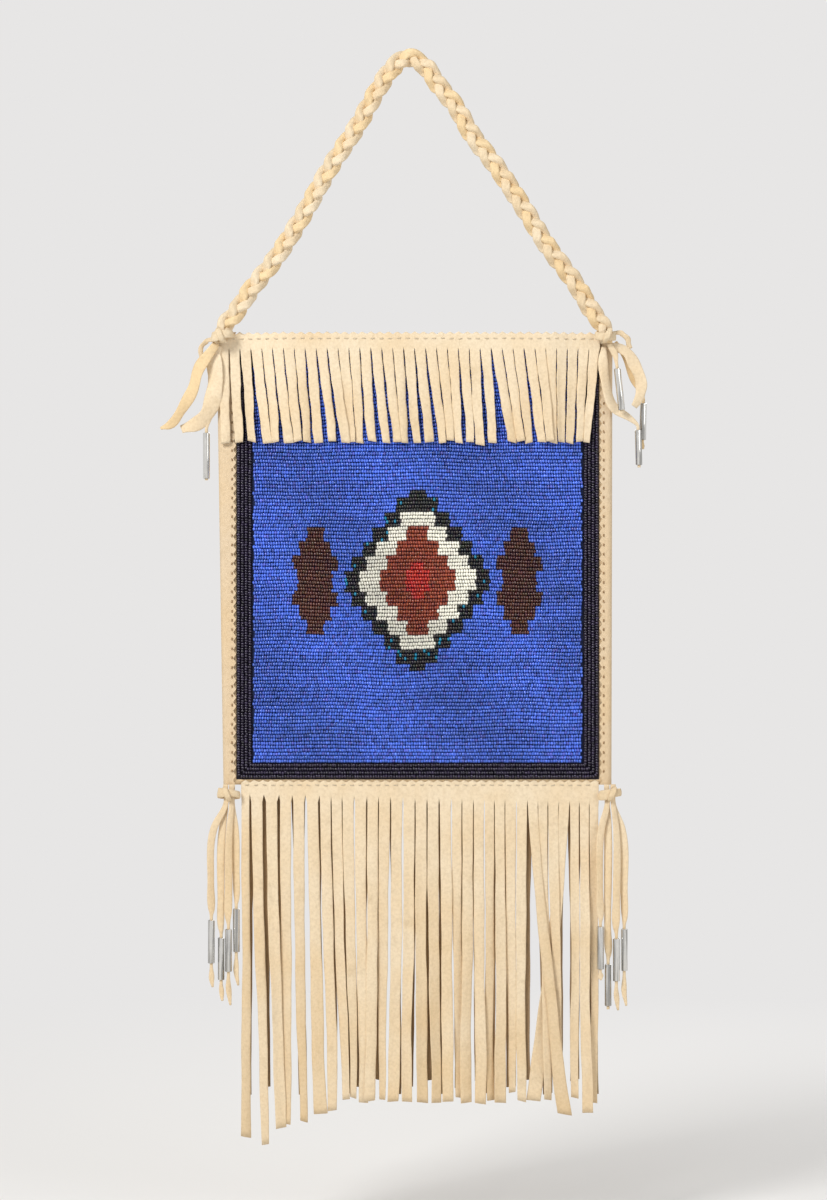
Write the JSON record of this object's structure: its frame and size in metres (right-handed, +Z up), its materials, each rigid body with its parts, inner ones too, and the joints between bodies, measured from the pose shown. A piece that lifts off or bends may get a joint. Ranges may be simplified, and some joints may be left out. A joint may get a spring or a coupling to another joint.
{
  "type": "beaded bag",
  "caption": "Flat fringed hide bag with a beaded front, pinked edges, lace ties with metal tubes and a plaited hide strap.",
  "frame": {"origin": "underside of the strap where it bends over its hook", "axes": "+Z up, -Y out of the beaded front, +X to the right as seen from the front"},
  "size_m": [0.2834, 0.0183, 0.6389],
  "materials": {
    "hide": "matte pale hide",
    "tan_hide": "matte tan hide",
    "shaded_hide": "matte darker hide",
    "thong": "soft hide thong",
    "yellow_thong": "yellower hide thong",
    "blue_beads": "shiny blue glass beads",
    "night_beads": "near-black glass beads",
    "black_beads": "black glass beads",
    "white_beads": "opaque white glass beads",
    "rust_beads": "rust glass beads",
    "red_beads": "red glass beads",
    "brown_beads": "dark brown glass beads",
    "nickel": "polished nickel tube"
  },
  "bodies": {
    "root": {"back_panel": "tan_hide", "front_panel": "hide", "bead_field": "blue_beads", "bead_border": "night_beads", "beads_medallion": "black_beads", "beads_white_ring": "white_beads", "beads_rust_panel": "rust_beads", "beads_red_centre": "red_beads", "beads_figure_left": "brown_beads", "beads_figure_right": "brown_beads", "upper_fringe": "hide", "lower_fringe_front": "hide", "lower_fringe_rear": "shaded_hide", "strap_thong_1": "thong", "strap_thong_2": "thong", "strap_thong_3": "yellow_thong", "wrap_strap_left": "thong", "wrap_strap_right": "thong", "wrap_lower_left": "thong", "wrap_lower_right": "thong", "tie_left_loop": "thong", "tie_left_broad": "hide", "tie_left_pointed": "yellow_thong", "tie_left_thong": "thong", "tie_left_thong_tube": "nickel", "tie_right_long": "hide", "tie_right_long_tube": "nickel", "tie_right_short": "thong", "tie_right_short_tube": "nickel", "tie_right_broad": "hide", "tie_right_loop": "thong", "tie_right_inner": "yellow_thong", "tie_right_inner_tube": "nickel", "lace_left_1": "thong", "lace_left_1_tube": "nickel", "lace_left_2": "thong", "lace_left_2_tube": "nickel", "lace_left_3": "thong", "lace_left_3_tube": "nickel", "lace_left_4": "thong", "lace_left_4_tube": "nickel", "lace_right_1": "thong", "lace_right_1_tube": "nickel", "lace_right_2": "thong", "lace_right_2_tube": "nickel", "lace_right_3": "thong", "lace_right_3_tube": "nickel", "lace_right_4": "thong", "lace_right_4_tube": "nickel"}
  },
  "joints": []
}
